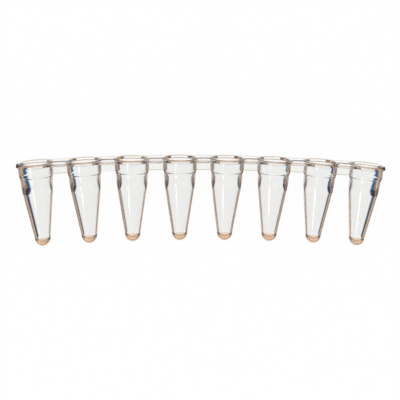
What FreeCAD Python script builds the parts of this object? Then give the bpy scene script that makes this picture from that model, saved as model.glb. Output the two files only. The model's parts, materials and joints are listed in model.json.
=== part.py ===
import FreeCAD, Part
import math
import os

# Strip of eight low-profile 0.2 ml PCR tubes, moulded in one shot of clear polypropylene.
#
# It is built in the strip's own frame: X runs along the row of tubes, Z points up out of the
# mouths, and the origin is the middle of the row at the height of the flange tops. The finished
# strip is then laid on its side, as it comes to rest on a table. All sizes are millimetres, and
# every depth is measured down a tube's axis from the top of its flange.

# The row of tubes
tube_count = 8
tube_pitch = 9.0              # spacing of the wells in the block that the strip drops into
bow_radius = 430.0            # the thin links let the row droop evenly towards both ends
tube_lean_deg = {1: -0.5, 2: 1.2}   # tubes that their links hold a little off square

# Mouth, collar and flange
mouth_radius = 2.72           # straight bore that takes the plug of a cap
mouth_depth = 2.45
mouth_bevel = 0.12
collar_wall = 0.46            # the thick ring round the mouth
collar_depth = 2.35
flange_rim = 0.34             # how far the flange stands out from the collar
flange_thickness = 0.62
flange_bevel = 0.28           # the rim's upper edge is well rounded off

# Neck and cone
shoulder_step = 0.22          # a bevel leads from the collar in to the neck
shoulder_height = 0.6
neck_depth = 4.8              # here the neck turns into the long cone
neck_draft_deg = 1.2
tube_height = 16.15
tip_radius = 1.44
ledge_height = 0.2            # a bevelled ledge below the mouth stops the plug
inner_neck_depth = 5.7
neck_crown = 0.09             # the neck's wall swells this far into the tube, most at its middle
cone_wall = 0.3               # thin, so that heat passes quickly from the block
floor_thickness = 0.78
floor_arc_end_deg = 65        # the round floor ends in the small flat that the core pin leaves

# Links between neighbouring tubes
link_inset = 0.45             # the link's long edges lie this far inside the flange's rim
link_thickness = 0.5
link_bevel = 0.08
web_thickness = 0.7
web_lift = 0.08               # the web's foot stays this far above the collar's

# How far a cutting shape reaches past the face that it opens
cut_clearance = 1.0

collar_radius = mouth_radius + collar_wall
flange_radius = collar_radius + flange_rim
link_half_width = flange_radius - link_inset
web_depth = collar_depth - web_lift
shoulder_depth = collar_depth + shoulder_height
ledge_depth = mouth_depth + ledge_height
neck_slope = math.tan(math.radians(neck_draft_deg))
neck_top_radius = collar_radius - shoulder_step
neck_end_radius = neck_top_radius - neck_slope * (neck_depth - shoulder_depth)

# The cone is the straight line from the end of the neck that just touches the round tip. The
# angle says how far below the tip ball's equator it touches, which is also the cone's half angle.
tip_ball_depth = tube_height - tip_radius
cone_angle = (
    math.acos(tip_radius / math.hypot(neck_end_radius, tip_ball_depth - neck_depth))
    - math.atan2(tip_ball_depth - neck_depth, neck_end_radius)
)

# The cavity's cone lies one wall thickness inside, and its round floor touches it the same way,
# so the floor's radius follows from how deep its flat lies.
inner_neck_end_radius = (
    neck_end_radius
    - math.tan(cone_angle) * (inner_neck_depth - neck_depth)
    - cone_wall / math.cos(cone_angle)
)
inner_neck_top_radius = inner_neck_end_radius + neck_slope * (inner_neck_depth - ledge_depth)
floor_depth = tube_height - floor_thickness
floor_arc_drop = math.sin(math.radians(floor_arc_end_deg))   # per millimetre of radius
floor_radius = (
    inner_neck_end_radius * math.cos(cone_angle)
    - (floor_depth - inner_neck_depth) * math.sin(cone_angle)
) / (1 - floor_arc_drop * math.sin(cone_angle))
floor_ball_depth = floor_depth - floor_arc_drop * floor_radius


# A point of a half section, at a distance from the tube's axis and a depth below the flange top.
def section_point(radius, depth):
    return FreeCAD.Vector(radius, 0, -depth)


# A point of a ball on the tube's axis in that section, at an angle below the ball's equator.
def ball_point(radius, centre_depth, angle_deg):
    angle = math.radians(angle_deg)
    return section_point(radius * math.cos(angle), centre_depth + radius * math.sin(angle))


def ball_edge(radius, centre_depth, start_deg, end_deg):
    angles = (start_deg, (start_deg + end_deg) / 2, end_deg)
    return Part.Arc(*[ball_point(radius, centre_depth, angle) for angle in angles]).toShape()


def straight_edges(points):
    return [Part.LineSegment(a, b).toShape() for a, b in zip(points, points[1:])]


# A closed half section, turned once round the tube's axis.
def turned(edges):
    face = Part.Face(Part.Wire(edges))
    return face.revolve(FreeCAD.Vector(), FreeCAD.Vector(0, 0, 1), 360)


# The outside of one tube as a solid body: flange, collar, shoulder, neck, cone and round tip.
def tube_body():
    touch = math.degrees(cone_angle)
    outline = [
        section_point(0, 0),
        section_point(flange_radius - flange_bevel, 0),
        section_point(flange_radius, flange_bevel),
        section_point(flange_radius, flange_thickness),
        section_point(collar_radius, flange_thickness),
        section_point(collar_radius, collar_depth),
        section_point(neck_top_radius, shoulder_depth),
        section_point(neck_end_radius, neck_depth),
        ball_point(tip_radius, tip_ball_depth, touch),
    ]
    tip = ball_edge(tip_radius, tip_ball_depth, touch, 90)
    axis = [section_point(0, tube_height), section_point(0, 0)]
    return turned([*straight_edges(outline), tip, *straight_edges(axis)])


# The hollow of one tube: bevelled mouth, bore, ledge, crowned neck, cone and round floor with its
# flat.
def tube_cavity():
    touch = math.degrees(cone_angle)
    neck_top = section_point(inner_neck_top_radius, ledge_depth)
    neck_end = section_point(inner_neck_end_radius, inner_neck_depth)
    neck_middle = (neck_top + neck_end) / 2 - FreeCAD.Vector(neck_crown, 0, 0)
    mouth = [
        section_point(0, -cut_clearance),
        section_point(mouth_radius + mouth_bevel, -cut_clearance),
        section_point(mouth_radius + mouth_bevel, 0),
        section_point(mouth_radius, mouth_bevel),
        section_point(mouth_radius, mouth_depth),
        neck_top,
    ]
    neck = Part.Arc(neck_top, neck_middle, neck_end).toShape()
    cone = [neck_end, ball_point(floor_radius, floor_ball_depth, touch)]
    floor = ball_edge(floor_radius, floor_ball_depth, touch, floor_arc_end_deg)
    flat_and_axis = [
        ball_point(floor_radius, floor_ball_depth, floor_arc_end_deg),
        section_point(0, floor_depth),
        section_point(0, -cut_clearance),
    ]
    return turned([
        *straight_edges(mouth), neck, *straight_edges(cone), floor, *straight_edges(flat_and_axis),
    ])


# A tube stands on the bowed line of the row, square to it apart from its own lean.
def tube_placement(index):
    turn = (index - (tube_count - 1) / 2) * tube_pitch / bow_radius
    centre = FreeCAD.Vector(
        bow_radius * math.sin(turn),
        0,
        bow_radius * (math.cos(turn) - 1),
    )
    lean = math.degrees(turn) + tube_lean_deg.get(index, 0)
    return FreeCAD.Placement(centre, FreeCAD.Rotation(FreeCAD.Vector(0, 1, 0), lean))


# A link runs from one tube's axis to the next: a flat plate level with the flanges, bevelled
# along its upper edges, and an upright web beneath it that joins the collars. Each tube carries
# the half of the link that starts from it, or the half that ends at it.
def half_link(index, ends_here):
    start = tube_placement(index).Base
    run = tube_placement(index + 1).Base - start
    length = run.Length / 2
    near = length if ends_here else 0
    half = link_half_width
    plate_outline = [
        FreeCAD.Vector(near, link_bevel - half, 0),
        FreeCAD.Vector(near, -half, -link_bevel),
        FreeCAD.Vector(near, -half, -link_thickness),
        FreeCAD.Vector(near, half, -link_thickness),
        FreeCAD.Vector(near, half, -link_bevel),
        FreeCAD.Vector(near, half - link_bevel, 0),
    ]
    plate_face = Part.Face(Part.makePolygon(plate_outline, True))
    plate = plate_face.extrude(FreeCAD.Vector(length, 0, 0))
    web_top = link_thickness / 2
    web = Part.makeBox(
        length,
        web_thickness,
        web_depth - web_top,
        FreeCAD.Vector(near, -web_thickness / 2, -web_depth),
    )
    link = plate.fuse(web)
    link.Placement = FreeCAD.Placement(start, FreeCAD.Rotation(FreeCAD.Vector(1, 0, 0), run))
    return link


# One tube of the strip with its half links, hollowed last, so that its mouth is open.
def tube_with_links(index):
    place = tube_placement(index)
    links = []
    if index > 0:
        links.append(half_link(index - 1, True))
    if index < tube_count - 1:
        links.append(half_link(index, False))
    joined = placed(tube_body(), place).multiFuse(links)
    return joined.cut(placed(tube_cavity(), place)).removeSplitter()


# The whole moulding. Its tubes meet face to face in the middle of the links, so that each of the
# eight mouths is a plain bore in a body of its own.
def tube_strip():
    return Part.makeCompound([tube_with_links(index) for index in range(tube_count)])


def placed(shape, placement):
    copy = shape.copy()
    copy.Placement = placement
    return copy


# Lying on its side, the strip rests on the rims of its two end flanges and on its two end tips,
# because the bow puts those lowest. This is the tilt of the row's plane above the table: the
# angle of the line that touches an end flange's lower edge and the tip ball beside it.
def resting_tilt_deg():
    rise = tip_ball_depth - flange_thickness
    lean = math.atan2(flange_radius, rise) - math.asin(tip_radius / math.hypot(flange_radius, rise))
    end_turn = (tube_count - 1) / 2 * tube_pitch / bow_radius
    return math.degrees(math.asin(math.sin(lean) / math.cos(end_turn)))


# Turns the row on to its side with the mouths towards +Y, and centres it on the table, Z = 0.
def resting_placement(strip):
    turn = FreeCAD.Rotation(FreeCAD.Vector(1, 0, 0), resting_tilt_deg() - 90)
    box = placed(strip, FreeCAD.Placement(FreeCAD.Vector(), turn)).optimalBoundingBox(False)
    return FreeCAD.Placement(FreeCAD.Vector(-box.Center.x, -box.Center.y, -box.ZMin), turn)


strip = tube_strip()
strip.Placement = resting_placement(strip)

os.makedirs("parts", exist_ok=True)
strip.exportStep("parts/tube_strip.step")
print("tube_strip: %d tubes, %.1f mm3" % (len(strip.Solids), strip.Volume))
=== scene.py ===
import bpy
import json
import math
from mathutils import Matrix, Vector


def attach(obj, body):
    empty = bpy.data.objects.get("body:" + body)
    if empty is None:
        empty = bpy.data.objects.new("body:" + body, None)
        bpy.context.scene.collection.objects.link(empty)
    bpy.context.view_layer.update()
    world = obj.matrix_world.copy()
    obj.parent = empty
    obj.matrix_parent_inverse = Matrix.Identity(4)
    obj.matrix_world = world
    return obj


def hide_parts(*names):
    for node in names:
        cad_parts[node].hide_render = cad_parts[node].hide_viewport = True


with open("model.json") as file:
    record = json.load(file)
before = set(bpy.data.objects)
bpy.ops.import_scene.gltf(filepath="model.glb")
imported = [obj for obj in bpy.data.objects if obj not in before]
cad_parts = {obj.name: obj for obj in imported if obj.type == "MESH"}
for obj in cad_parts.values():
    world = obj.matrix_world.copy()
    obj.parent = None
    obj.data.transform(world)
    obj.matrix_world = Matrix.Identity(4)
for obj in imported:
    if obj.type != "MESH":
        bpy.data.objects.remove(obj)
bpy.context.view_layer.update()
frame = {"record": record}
bpy.ops.object.select_all(action='DESELECT')
print("frame loaded")

mm = 0.001

# Sizes are in millimetres. Depths run down a tube's axis from the top of its flange.
# An edge is how far a corner's rounding reaches, and steps is how many faces go round it.
tube = {
    "mouthRadius": 2.72, "mouthDepth": 2.45, "mouthBevel": 0.12, "mouthLip": 0.05,
    "flangeRadius": 3.52, "flangeThickness": 0.62, "flangeEdge": 0.36, "flangeSteps": 6,
    "collarRadius": 3.18, "collarDepth": 2.35, "collarEdge": 0.31, "collarSteps": 8,
    "shoulderDepth": 2.95, "footFillet": 0.07, "filletSteps": 4,
    "neckTopRadius": 2.96, "neckEndRadius": 2.921, "neckDepth": 4.8, "neckEdge": 0.5,
    "tubeHeight": 16.15, "tipRadius": 1.44, "tipSteps": 14, "coneSlope": 8.41,
    "ledgeDepth": 2.65, "ledgeEdge": 0.15, "ledgeSteps": 5,
    "innerNeckTopRadius": 2.549, "innerNeckEndRadius": 2.485, "innerNeckDepth": 5.7,
    "innerCrown": 0.18, "crownEdge": 1.3, "crownSteps": 12, "innerNeckEdge": 0.15,
    "floorDepth": 15.37, "floorRadius": 1.24, "floorSteps": 12, "spinSteps": 96,
}

mouths = [mount for mount in frame["record"]["mounts"] if mount["name"].startswith("mouth_")]
mouths.sort(key=lambda mount: mount["name"])
axes = [Vector(m["axis"]).normalized() for m in mouths]
tops = [Vector(m["pos_m"]) + axis * tube["mouthBevel"] * mm for m, axis in zip(mouths, axes)]
up = sum(axes, Vector()).normalized()
up.x = 0
up.normalize()
across = up.cross(Vector((1, 0, 0))).normalized()


# A place with its Z up a tube's axis and its Y across the strip.
def standing(place, side, top):
    turn = Matrix((side, across, top)).transposed().to_4x4()
    return Matrix.Translation(place) @ turn


tubePlaces = [standing(top, across.cross(axis).normalized(), axis) for top, axis in zip(tops, axes)]
linkRuns = [(a, b, (b - a).normalized()) for a, b in zip(tops, tops[1:])]
linkPlaces = [standing(a, run, run.cross(across).normalized()) for a, b, run in linkRuns]
linkLengths = [(b - a).length for a, b, run in linkRuns]


def pickVertexAt(obj, x, z):
    bpy.ops.mesh.select_all(action='DESELECT')
    bpy.ops.object.mode_set(mode='OBJECT')
    nearest = min(obj.data.vertices, key=lambda v: (v.co.x - x) ** 2 + (v.co.z - z) ** 2)
    nearest.select = True
    bpy.ops.object.mode_set(mode='EDIT')


# One vertex is extruded from corner to corner, the corners are rounded, and the line is spun.
def spunOutline(name, corners, steps):
    bpy.ops.mesh.primitive_plane_add(size=1 * mm, location=(0, 0, 0))
    obj = bpy.context.object
    obj.name = name
    bpy.ops.object.mode_set(mode='EDIT')
    bpy.ops.mesh.select_mode(type='VERT')
    bpy.ops.mesh.select_all(action='SELECT')
    bpy.ops.mesh.merge(type='CENTER')
    points = [Vector((corner[0], 0, -corner[1])) * mm for corner in corners]
    bpy.ops.transform.translate(value=points[0])
    for last, here in zip(points, points[1:]):
        bpy.ops.mesh.extrude_region_move(TRANSFORM_OT_translate={"value": here - last})
    for radius, depth, edge, segments in [corner for corner in corners if len(corner) > 2]:
        pickVertexAt(obj, radius * mm, -depth * mm)
        bpy.ops.mesh.bevel(affect='VERTICES', offset=edge * mm, segments=segments, profile=0.5)
    bpy.ops.mesh.select_all(action='SELECT')
    bpy.ops.mesh.spin(steps=steps, angle=2 * math.pi, center=(0, 0, 0), axis=(0, 0, 1))
    bpy.ops.mesh.select_all(action='SELECT')
    bpy.ops.mesh.remove_doubles(threshold=0.002 * mm)
    bpy.ops.mesh.normals_make_consistent(inside=False)
    bpy.ops.object.mode_set(mode='OBJECT')
    return obj


def copiesAt(obj, places):
    made = []
    for place in places:
        copy = obj.copy()
        copy.data = obj.data.copy()
        bpy.context.scene.collection.objects.link(copy)
        copy.data.transform(place)
        made.append(copy)
    bpy.data.objects.remove(obj)
    return made


def joined(objects, name):
    bpy.ops.object.select_all(action='DESELECT')
    for obj in objects:
        obj.select_set(True)
    bpy.context.view_layer.objects.active = objects[0]
    bpy.ops.object.join()
    objects[0].name = name
    bpy.ops.object.select_all(action='DESELECT')
    return objects[0]


def cutOrJoin(obj, other, operation):
    bpy.context.view_layer.objects.active = obj
    step = obj.modifiers.new(operation, 'BOOLEAN')
    step.operation = operation
    step.solver = 'EXACT'
    step.object = other
    bpy.ops.object.modifier_apply(modifier=step.name)
    bpy.data.objects.remove(other)


t = tube
roundShare = math.tan(math.radians((90 - t["coneSlope"]) / 2))    # a cone's corner with a ball of radius 1
tipReach = t["tipRadius"] * roundShare
floorReach = t["floorRadius"] * roundShare
justShort = 0.998    # a rounding that all but reaches the axis
fillet = (t["footFillet"], t["filletSteps"])
bodyCorners = [
    (0, 0),
    (t["flangeRadius"], 0, t["flangeEdge"], t["flangeSteps"]),
    (t["flangeRadius"], t["flangeThickness"], *fillet),
    (t["collarRadius"], t["flangeThickness"], *fillet),
    (t["collarRadius"], t["collarDepth"], t["collarEdge"], t["collarSteps"]),
    (t["neckTopRadius"], t["shoulderDepth"], t["collarEdge"], t["collarSteps"]),
    (t["neckEndRadius"], t["neckDepth"], t["neckEdge"], 4),
    (tipReach, t["tubeHeight"], tipReach * justShort, t["tipSteps"]),
    (0, t["tubeHeight"]),
]
crownRadius = (t["innerNeckTopRadius"] + t["innerNeckEndRadius"]) / 2 - t["innerCrown"]
crownDepth = (t["ledgeDepth"] + t["innerNeckDepth"]) / 2
hollowCorners = [
    (0, -1),
    (t["mouthRadius"] + t["mouthBevel"] + 1, -1),
    (t["mouthRadius"] + t["mouthBevel"], 0),
    (t["mouthRadius"], t["mouthBevel"], t["mouthLip"], 2),
    (t["mouthRadius"], t["mouthDepth"], 0.1, t["ledgeSteps"]),
    (t["innerNeckTopRadius"], t["ledgeDepth"], t["ledgeEdge"], t["ledgeSteps"]),
    (crownRadius, crownDepth, t["crownEdge"], t["crownSteps"]),
    (t["innerNeckEndRadius"], t["innerNeckDepth"], t["innerNeckEdge"], 4),
    (floorReach, t["floorDepth"], floorReach * justShort, t["floorSteps"]),
    (0, t["floorDepth"]),
]
bodies = joined(copiesAt(spunOutline("tubeBody", bodyCorners, t["spinSteps"]), tubePlaces), "bodies")
hollows = joined(copiesAt(spunOutline("tubeHollow", hollowCorners, t["spinSteps"]), tubePlaces), "hollows")
print("tubes spun")

# A link starts inside its flange, a hair under the flange's top, and sinks a little over its web.
link = {
    "halfWidth": 3.07, "thickness": 0.5, "edge": 0.2, "edgeSteps": 5, "start": 1.3, "drop": 0.04,
    "webThickness": 0.505, "webDepth": 2.27, "webEdge": 0.1, "webSteps": 4,
    "sinkWidth": 0.8, "sinkDepth": 0.15, "sinkMiddle": 0.7, "sinkSides": 0.3, "rimBand": 0.5,
    "paintFrom": 3.15, "paintTo": 3.6, "hair": 0.01, "edgeMiddle": 0.25, "underside": 0.05, "footShare": 1.2,
}


def pickFaces(obj, test):
    bpy.ops.mesh.select_mode(type='FACE')
    bpy.ops.mesh.select_all(action='DESELECT')
    bpy.ops.object.mode_set(mode='OBJECT')
    for face in obj.data.polygons:
        face.select = test(face)
    bpy.ops.object.mode_set(mode='EDIT')


def pickEdges(obj, test):
    bpy.ops.mesh.select_mode(type='EDGE')
    bpy.ops.mesh.select_all(action='DESELECT')
    bpy.ops.object.mode_set(mode='OBJECT')
    for edge in obj.data.edges:
        a, b = (obj.data.vertices[i].co / mm for i in edge.vertices)
        edge.select = abs(a.x - b.x) > 1 and test(a)
    bpy.ops.object.mode_set(mode='EDIT')


def linkBar(length):
    k = link
    run = length - 2 * k["start"] * mm
    bpy.ops.mesh.primitive_cube_add(size=1, location=(0, 0, 0))
    obj = bpy.context.object
    obj.name = "linkBar"
    bpy.ops.object.mode_set(mode='EDIT')
    bpy.ops.mesh.select_all(action='SELECT')
    bpy.ops.transform.resize(value=(run, 2 * k["halfWidth"] * mm, k["thickness"] * mm))
    bpy.ops.transform.translate(value=(length / 2, 0, -(k["thickness"] / 2 + k["drop"]) * mm))
    webSide = k["webThickness"] / 2
    sinkSide = k["sinkWidth"] / 2
    bandSide = k["halfWidth"] - k["rimBand"]
    for y in (0, webSide, -webSide, sinkSide, -sinkSide, bandSide, -bandSide):
        bpy.ops.mesh.select_all(action='SELECT')
        bpy.ops.mesh.bisect(plane_co=(0, y * mm, 0), plane_no=(0, 1, 0))
    pickFaces(obj, lambda f: f.normal.z < -0.5 and abs(f.center.y) < webSide * mm)
    webDrop = (0, 0, -(k["webDepth"] - k["thickness"]) * mm)
    bpy.ops.mesh.extrude_region_move(TRANSFORM_OT_translate={"value": webDrop})
    for depthShare, reach in ((k["sinkMiddle"], k["hair"]), (k["sinkSides"], webSide + k["hair"])):
        pickEdges(obj, lambda a: a.z > -k["drop"] - k["sinkDepth"] and abs(a.y) < reach)
        bpy.ops.transform.translate(value=(0, 0, -k["sinkDepth"] * mm * depthShare))
    pickEdges(obj, lambda a: abs(abs(a.y) - k["halfWidth"]) < 0.001)
    bpy.ops.mesh.bevel(offset=k["edge"] * mm, segments=k["edgeSteps"])
    pickEdges(obj, lambda a: a.z < -k["webDepth"] + k["hair"] and abs(a.y) > k["hair"])
    bpy.ops.mesh.bevel(offset=k["webEdge"] * mm, segments=k["webSteps"])
    bpy.ops.object.mode_set(mode='OBJECT')
    return obj


links = joined([copiesAt(linkBar(run), [place])[0] for run, place in zip(linkLengths, linkPlaces)], "links")
print("links shaped")

joinGap = 0.0005
sharpAngle = 26
cutOrJoin(bodies, links, 'UNION')
cutOrJoin(bodies, hollows, 'DIFFERENCE')
strip = bodies
strip.name = "tubeStrip"
bpy.context.view_layer.objects.active = strip
strip.select_set(True)
# The cuts leave slivers, which merge away.
bpy.ops.object.mode_set(mode='EDIT')
bpy.ops.mesh.select_mode(type='VERT')
bpy.ops.mesh.select_all(action='SELECT')
bpy.ops.mesh.remove_doubles(threshold=joinGap * mm)
bpy.ops.object.mode_set(mode='OBJECT')
bpy.ops.object.shade_smooth_by_angle(angle=math.radians(sharpAngle))
flat = strip.modifiers.new("evenNormals", 'WEIGHTED_NORMAL')
flat.keep_sharp = True
flat.weight = 100
bpy.ops.object.modifier_apply(modifier=flat.name)
print("strip joined", len(strip.data.polygons))


def addNode(tree, kind, inputs=None, **settings):
    node = tree.nodes.new(kind)
    for key, value in settings.items():
        setattr(node, key, value)
    for key, value in (inputs or {}).items():
        if hasattr(value, "is_linked"):
            tree.links.new(value, node.inputs[key])
        else:
            node.inputs[key].default_value = value
    return node


def addMath(tree, operation, a, b=0.0):
    return addNode(tree, "ShaderNodeMath", {0: a, 1: b}, operation=operation).outputs[0]


def addRange(tree, value, low, high, fromLow=0.0, toHigh=1.0):
    return addNode(tree, "ShaderNodeMapRange", {"Value": value, "From Min": low, "From Max": high,
                   "To Min": fromLow, "To Max": toHigh}).outputs[0]


def addMix(tree, share, a, b, blend='MIX'):
    mix = addNode(tree, "ShaderNodeMix", data_type='RGBA', blend_type=blend)
    for socket, value in ((0, share), (6, a), (7, b)):    # the colour sockets of a Mix node
        if hasattr(value, "is_linked"):
            tree.links.new(value, mix.inputs[socket])
        else:
            mix.inputs[socket].default_value = value
    return mix.outputs[2]


def addRamp(tree, factor, stops):
    node = addNode(tree, "ShaderNodeValToRGB", {0: factor})
    ramp = node.color_ramp
    while len(ramp.elements) < len(stops):
        ramp.elements.new(1.0)
    for element, (place, colour) in zip(ramp.elements, stops):
        element.position = place
        element.color = (*colour, 1)
    return node.outputs["Color"]


# Painted reflection and painted shade: warm and dark colours at the rims, the tips and the links' edges
# stand in for warm, dark surroundings seen through the clear polypropylene.
finish = {
    "clear": (0.988, 0.988, 0.979), "rimPaintedReflection": (0.66, 0.48, 0.34), "rimTopPaintedReflection": (0.68, 0.59, 0.45),
    "rimFootPaintedShade": (0.32, 0.30, 0.28), "tip": (0.85, 0.67, 0.5), "tipBelow": 14.85,
    "tipFrost": 0.05, "rimFrost": 0.25, "endFrost": 0.3,
    "rimFrom": 3.12, "rimDepths": (0.001, 0.3), "rimTopDepth": 0.12, "footFrom": 3.4,
    "footDepths": (0.5, 0.63), "sideFrom": 0.25, "sideReach": 0.35, "endShare": 0.3,
    "skin": 0.08, "mouthSkin": 0.02,
    "linkBandPaintedShade": (0.25, 0.18, 0.17), "linkEdge": (0.97, 0.94, 0.9), "linkFoot": (0.96, 0.96, 0.93),
    "sinkLinePaintedShade": (0.03, 0.05, 0.075), "web": (0.955, 0.95, 0.925), "webFootPaintedShade": (0.6, 0.5, 0.4),
    "wallEdgeShadeRamp": [(0, (1, 1, 1)), (0.55, (1, 1, 1)), (0.65, (0.7, 0.67, 0.67)), (0.8, (0.4, 0.38, 0.39)),
                 (1, (0.34, 0.32, 0.33))],
    "coneEdgeShadeRamp": [(0, (1, 1, 1)), (0.55, (1, 1, 1)), (0.7, (0.84, 0.82, 0.81)), (1, (0.7, 0.67, 0.66))],
    "wallLean": (0.08, 0.12), "coneLean": (0.35, 0.6), "ior": 1.49,
    "rippleScale": 700.0, "rippleDetail": 2.0, "polishFrom": (0.45, 0.75), "polishTo": 0.02,
    "waveStrength": 0.2, "waveHeight": 0.000004,
}


# Painted reflection and painted shade by place on the tube, clear at the front and back and full at the two
# sides.
def tubePaintedShadeAndFrost(index, spots):
    f = finish
    depth = -sum(spot.z for spot in spots) / len(spots)
    near = min(spot.xy.length for spot in spots)
    far = max(spot.xy.length for spot in spots)
    middle = sum(spots, Vector()) / len(spots)
    freeEnd = (index == 0 and middle.x < 0) or (index == len(tubePlaces) - 1 and middle.x > 0)
    sideways = (abs(middle.y) / max(far, 0.1) - f["sideFrom"]) / f["sideReach"]
    share = min(max(sideways, f["endShare"] if freeEnd else 0), 1)
    ballDepth = tube["tubeHeight"] - tube["tipRadius"]
    name = "clear"
    # The tip's ball takes a painted warm reflection.
    if depth > f["tipBelow"] and math.hypot(near, depth - ballDepth) > tube["tipRadius"] - f["skin"]:
        return f["tip"], f["tipFrost"]
    if far < tube["flangeRadius"] + f["skin"] and near > tube["mouthRadius"] - f["mouthSkin"]:
        # The flange's rounding and top take a painted warm reflection.
        if near > f["rimFrom"] and f["rimDepths"][0] < depth < f["rimDepths"][1]:
            name = "rimPaintedReflection"
        elif depth < f["rimTopDepth"]:
            name = "rimTopPaintedReflection"
        # Painted shade under the flange's edge; at the free ends it takes the rim's painted warm reflection
        # instead.
        elif near > f["footFrom"] and f["footDepths"][0] < depth < f["footDepths"][1]:
            name = "rimPaintedReflection" if freeEnd else "rimFootPaintedShade"
    mixed = [a + (b - a) * share for a, b in zip(f["clear"], f[name])]
    if name == "clear":
        return mixed, 0
    return mixed, (f["endFrost"] if freeEnd else f["rimFrost"]) * share


# Painted shade and painted reflection on the links: faint warm tints on the edges, feet and web, a dark band
# along each long edge of the top, a near-black line in the sink over the web and a brown band at the web's
# foot.
def linkPaintedShade(spots):
    height = sum(spot.z for spot in spots) / len(spots)
    side = sum(abs(spot.y) for spot in spots) / len(spots)
    middle = abs(sum(spot.y for spot in spots)) / len(spots)
    top = -link["drop"] - link["hair"]
    # The edges' roundings take a faint painted warm reflection.
    if side > link["halfWidth"] - link["edge"]:
        return finish["linkEdge" if height > -link["edgeMiddle"] else "linkFoot"]
    # Painted shade: a dark band along each long edge of the link's top.
    if height > top and middle > link["halfWidth"] - link["rimBand"]:
        return finish["linkBandPaintedShade"]
    # Painted shade: a near-black line on the sink's faces over the web.
    if height > -link["sinkDepth"] - link["drop"] and side < link["sinkWidth"] / 2 - link["hair"]:
        return finish["sinkLinePaintedShade"]
    # Painted shade: a brown band at the web's foot.
    if height < -link["webDepth"] + link["webEdge"] * link["footShare"]:
        return finish["webFootPaintedShade"]
    if height < -link["thickness"] - link["drop"] - link["underside"]:
        return finish["web"]
    return finish["clear"]


# Each face stores its colour and a frost roughness. Clear faces get the plastic's faint tint, and the other
# faces get painted reflection and painted shade.
strip.data.attributes.new("tintAndPaintedShade", 'FLOAT_COLOR', 'FACE')
strip.data.attributes.new("frost", 'FLOAT', 'FACE')
tintAndShadeLayer = strip.data.attributes["tintAndPaintedShade"]
frostLayer = strip.data.attributes["frost"]
tubeBacks = [place.inverted() for place in tubePlaces]
linkBacks = [place.inverted() for place in linkPlaces]
for face in strip.data.polygons:
    corners = [strip.data.vertices[i].co for i in face.vertices]
    index = min(range(len(tubeBacks)), key=lambda i: (tubeBacks[i] @ face.center).xy.length)
    spots = [tubeBacks[index] @ corner / mm for corner in corners]
    frost = 0
    beside = [i for i in (index - 1, index) if 0 <= i < len(linkBacks)]
    reaches = [spot.xy.length for spot in spots]
    if beside and min(reaches) > link["paintFrom"] and max(reaches) > link["paintTo"]:
        best = min(beside, key=lambda i: abs((linkBacks[i] @ face.center).x - linkLengths[i] / 2))
        colour = linkPaintedShade([linkBacks[best] @ corner / mm for corner in corners])
    else:
        colour, frost = tubePaintedShadeAndFrost(index, spots)
    tintAndShadeLayer.data[face.index].color = (*colour, 1)
    frostLayer.data[face.index].value = frost

plastic = bpy.data.materials.new("clearPolypropylene")
plastic.use_nodes = True
tree = plastic.node_tree
shader = tree.nodes["Principled BSDF"]
shader.inputs["Transmission Weight"].default_value = 1
shader.inputs["IOR"].default_value = finish["ior"]
# Painted shade: walls and cones darken towards their outlines by Layer Weight facing, walls more than cones,
# and the faces' painted colours multiply onto it.
facing = addNode(tree, "ShaderNodeLayerWeight", {"Blend": 0.5}).outputs["Facing"]
coords = addNode(tree, "ShaderNodeTexCoord")
alongAxis = addNode(tree, "ShaderNodeVectorMath", {0: coords.outputs["Normal"], 1: tuple(up)},
                    operation='DOT_PRODUCT').outputs["Value"]
lean = addMath(tree, 'ABSOLUTE', alongAxis)
sideEdgeShade = addMix(tree, addRange(tree, lean, *finish["wallLean"]), addRamp(tree, facing, finish["wallEdgeShadeRamp"]),
                  addRamp(tree, facing, finish["coneEdgeShadeRamp"]))
wallEdgeShade = addMix(tree, addRange(tree, lean, *finish["coneLean"]), sideEdgeShade, (1, 1, 1, 1))
painted = addNode(tree, "ShaderNodeAttribute", attribute_name="tintAndPaintedShade").outputs["Color"]
tree.links.new(addMix(tree, 1.0, wallEdgeShade, painted, 'MULTIPLY'), shader.inputs["Base Color"])
ripple = addNode(tree, "ShaderNodeTexNoise", {"Vector": coords.outputs["Object"],
                 "Scale": finish["rippleScale"], "Detail": finish["rippleDetail"]})
frost = addNode(tree, "ShaderNodeAttribute", attribute_name="frost").outputs["Fac"]
polish = addRange(tree, ripple.outputs["Fac"], *finish["polishFrom"], 0.0, finish["polishTo"])
tree.links.new(addMath(tree, 'MAXIMUM', frost, polish), shader.inputs["Roughness"])
wave = addNode(tree, "ShaderNodeBump", {"Height": ripple.outputs["Fac"],
               "Strength": finish["waveStrength"], "Distance": finish["waveHeight"]})
tree.links.new(wave.outputs[0], shader.inputs["Normal"])
strip.data.materials.clear()
strip.data.materials.append(plastic)
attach(strip, "root")
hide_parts("tube_strip")
print("plastic made")

sheet = {"size": 2, "colour": (0.92, 0.92, 0.92, 1), "roughness": 0.9, "shadowShare": 0.03}
bpy.ops.mesh.primitive_plane_add(size=sheet["size"], location=(0, 0, 0))
floor = bpy.context.object
floor.name = "floor"
paper = bpy.data.materials.new("whitePaper")
paper.use_nodes = True
tree = paper.node_tree
board = tree.nodes["Principled BSDF"]
board.inputs["Base Color"].default_value = sheet["colour"]
board.inputs["Roughness"].default_value = sheet["roughness"]
path = addNode(tree, "ShaderNodeLightPath")
glow = addNode(tree, "ShaderNodeEmission").outputs[0]
shaded = addNode(tree, "ShaderNodeMixShader", {0: sheet["shadowShare"], 1: glow, 2: board.outputs[0]})
seen = addNode(tree, "ShaderNodeMixShader", {0: path.outputs["Is Camera Ray"], 1: board.outputs[0],
               2: shaded.outputs[0]})
bounced = addMath(tree, 'MAXIMUM', path.outputs["Is Transmission Ray"], path.outputs["Is Glossy Ray"])
through = addNode(tree, "ShaderNodeMixShader", {0: bounced, 1: seen.outputs[0],
                  2: addNode(tree, "ShaderNodeBsdfTransparent").outputs[0]})
tree.links.new(through.outputs[0], tree.nodes["Material Output"].inputs["Surface"])
floor.data.materials.append(paper)
print("floor laid")

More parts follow.
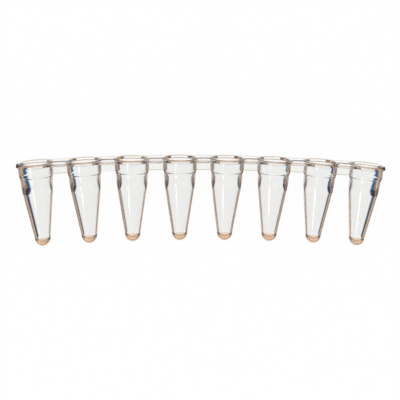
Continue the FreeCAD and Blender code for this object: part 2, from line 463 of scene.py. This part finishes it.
# A white panel lies behind the strip, with a warm, dark room beside it that only light which has
# met the plastic sees. Side stops are degrees from the panel's middle. The three lists are for how
# far a ray climbs along the tubes: low, level and high.
studio = {
    "panelCentre": 4.4,
    "lowStops": [(0, (1, 1, 1)), (17.0, (1, 1, 1)), (18.0, (0.42, 0.54, 0.70)), (19.2, (0.07, 0.11, 0.18)),
                 (21, (0.06, 0.045, 0.04)), (23.6, (0.10, 0.07, 0.05)), (25.6, (0.36, 0.23, 0.14)),
                 (28, (0.54, 0.35, 0.21)), (32, (0.62, 0.42, 0.27)), (37, (0.44, 0.32, 0.22)),
                 (42, (0.26, 0.20, 0.16)), (48, (0.46, 0.33, 0.23)), (56, (0.40, 0.35, 0.30)),
                 (70, (0.5, 0.42, 0.35)), (84, (0.3, 0.26, 0.22)), (90, (0.02, 0.03, 0.05))],
    "levelStops": [(0, (1, 1, 1)), (17.0, (1, 1, 1)), (18.0, (0.15, 0.40, 0.66)), (19.4, (0.0, 0.13, 0.36)),
                   (21.6, (0.0, 0.11, 0.32)), (23.0, (0.12, 0.07, 0.08)), (25.3, (0.70, 0.28, 0.08)),
                   (28.5, (0.55, 0.25, 0.11)), (31, (0.12, 0.08, 0.06)), (35, (0.16, 0.12, 0.09)),
                   (41, (0.40, 0.32, 0.23)), (46, (0.10, 0.085, 0.075)), (60, (0.1, 0.09, 0.08)),
                   (70, (0.4, 0.34, 0.29)), (84, (0.3, 0.26, 0.22)), (90, (0.02, 0.03, 0.05))],
    "highStops": [(0, (1, 1, 1)), (16.6, (1, 1, 1)), (17.8, (0.16, 0.22, 0.36)), (19.2, (0.01, 0.015, 0.05)),
                  (24, (0.03, 0.02, 0.03)), (28, (0.04, 0.025, 0.02)), (33, (0.08, 0.05, 0.04)),
                  (38, (0.26, 0.18, 0.13)), (42, (0.20, 0.16, 0.14)), (47, (0.04, 0.035, 0.03)),
                  (60, (0.06, 0.05, 0.05)), (70, (0.35, 0.3, 0.26)), (84, (0.3, 0.26, 0.22)),
                  (90, (0.02, 0.03, 0.05))],
    "levelFrom": (-0.26, -0.235), "highFrom": (-0.15, -0.11),
    "endColour": (0.72, 0.50, 0.34, 1), "upEnd": (0.26, 0.32), "downEnd": (-0.60, -0.66),
    "ceiling": (0.5, 0.48, 0.46, 1), "panelDepth": (0.70, 0.74), "overheadTo": 0.2, "room": (1, 1, 1, 1),
}
world = bpy.data.worlds.new("studio")
bpy.context.scene.world = world
world.use_nodes = True
tree = world.node_tree
ray = addNode(tree, "ShaderNodeTexCoord").outputs["Generated"]
split = addNode(tree, "ShaderNodeSeparateXYZ", {0: ray}).outputs
down = addMath(tree, 'MULTIPLY', split["Z"], -1.0)
aside = addMath(tree, 'ARCTAN2', split["X"], down)
turned = addMath(tree, 'SUBTRACT', aside, math.radians(studio["panelCentre"]))
sideShare = addMath(tree, 'DIVIDE', addMath(tree, 'ABSOLUTE', turned), math.radians(90))
sideRamps = []
for stops in ("lowStops", "levelStops", "highStops"):
    sideRamps.append(addRamp(tree, sideShare, [(angle / 90, colour) for angle, colour in studio[stops]]))
lowSide, levelSide, highSide = sideRamps
climb = addNode(tree, "ShaderNodeVectorMath", {0: ray, 1: tuple(up)},
                operation='DOT_PRODUCT').outputs["Value"]
lower = addMix(tree, addRange(tree, climb, *studio["levelFrom"]), lowSide, levelSide)
sides = addMix(tree, addRange(tree, climb, *studio["highFrom"]), lower, highSide)
upEnd = addRange(tree, climb, *studio["upEnd"])
pastEnds = addMath(tree, 'MAXIMUM', upEnd, addRange(tree, climb, *studio["downEnd"]))
path = addNode(tree, "ShaderNodeLightPath")
throughGlass = addMath(tree, 'MINIMUM', path.outputs["Transmission Depth"], 1.0)
endView = addMix(tree, throughGlass, studio["ceiling"], studio["endColour"])
surround = addMix(tree, pastEnds, sides, endView)
behind = addRange(tree, down, *studio["panelDepth"])
inside = addMath(tree, 'MINIMUM', path.outputs["Glossy Depth"], 1.0)
overhead = addRange(tree, split["Z"], 0.0, studio["overheadTo"])
shown = addMath(tree, 'MAXIMUM', addMath(tree, 'MAXIMUM', behind, inside), overhead)
glassView = addMix(tree, shown, (1, 1, 1, 1), surround)
bounced = addMath(tree, 'MAXIMUM', path.outputs["Is Transmission Ray"], path.outputs["Is Glossy Ray"])
roomView = addMix(tree, bounced, studio["room"], glassView)
tree.links.new(addMix(tree, path.outputs["Is Camera Ray"], roomView, (1, 1, 1, 1)),
               tree.nodes["Background"].inputs["Color"])

middleLift = 0.0235
mid = (tops[3] + tops[4]) / 2 + up * middleLift * mm
stripPlace = standing(mid, Vector((1, 0, 0)), up)
# Lamps are aimed at the strip's middle from a side and a drop in degrees, and far is in metres.
softboxes = {
    "window": {"side": -34, "drop": 25, "far": 0.5, "width": 0.13, "height": 0.1, "power": 0.11},
    "windowSlit": {"side": -34, "drop": 34, "far": 0.5, "width": 0.05, "height": 0.08, "power": 0.016},
}
for name, box in softboxes.items():
    lamp = bpy.data.lights.new(name, 'AREA')
    lamp.shape = 'ELLIPSE'
    lamp.size = box["width"]
    lamp.size_y = box["height"]
    lamp.energy = box["power"]
    lampObj = bpy.data.objects.new(name, lamp)
    bpy.context.scene.collection.objects.link(lampObj)
    side, drop = math.radians(box["side"]), math.radians(box["drop"])
    toward = Vector((math.sin(side) * math.cos(drop), -math.cos(side) * math.cos(drop), -math.sin(drop)))
    lampObj.location = stripPlace @ (toward * box["far"])
    lampObj.rotation_euler = (mid - lampObj.location).to_track_quat('-Z', 'Y').to_euler()
print("lights placed")

camera = {
    "place": (-11.600, -144.025, 26.596), "pitch": -0.2366, "yaw": -0.0766, "roll": -0.0210,
    "lens": 70.01, "nearest": 0.01,
}
look = (Matrix.Rotation(camera["yaw"], 4, 'Z') @ Matrix.Rotation(camera["pitch"], 4, 'X')
        @ Matrix.Rotation(camera["roll"], 4, 'Y') @ Matrix.Rotation(math.pi / 2, 4, 'X'))
cam = bpy.data.cameras.new("camera")
cam.lens = camera["lens"]
cam.clip_start = camera["nearest"]
camObj = bpy.data.objects.new("camera", cam)
bpy.context.scene.collection.objects.link(camObj)
camObj.matrix_world = stripPlace @ Matrix.Translation(Vector(camera["place"]) * mm) @ look
bpy.context.scene.camera = camObj
bpy.context.scene.view_settings.view_transform = 'Standard'
# Light crosses many walls inside the clear tubes.
bounceLimit = 24
bpy.context.scene.cycles.max_bounces = bounceLimit
bpy.context.scene.cycles.glossy_bounces = bounceLimit
bpy.context.scene.cycles.transmission_bounces = bounceLimit
print("camera set")
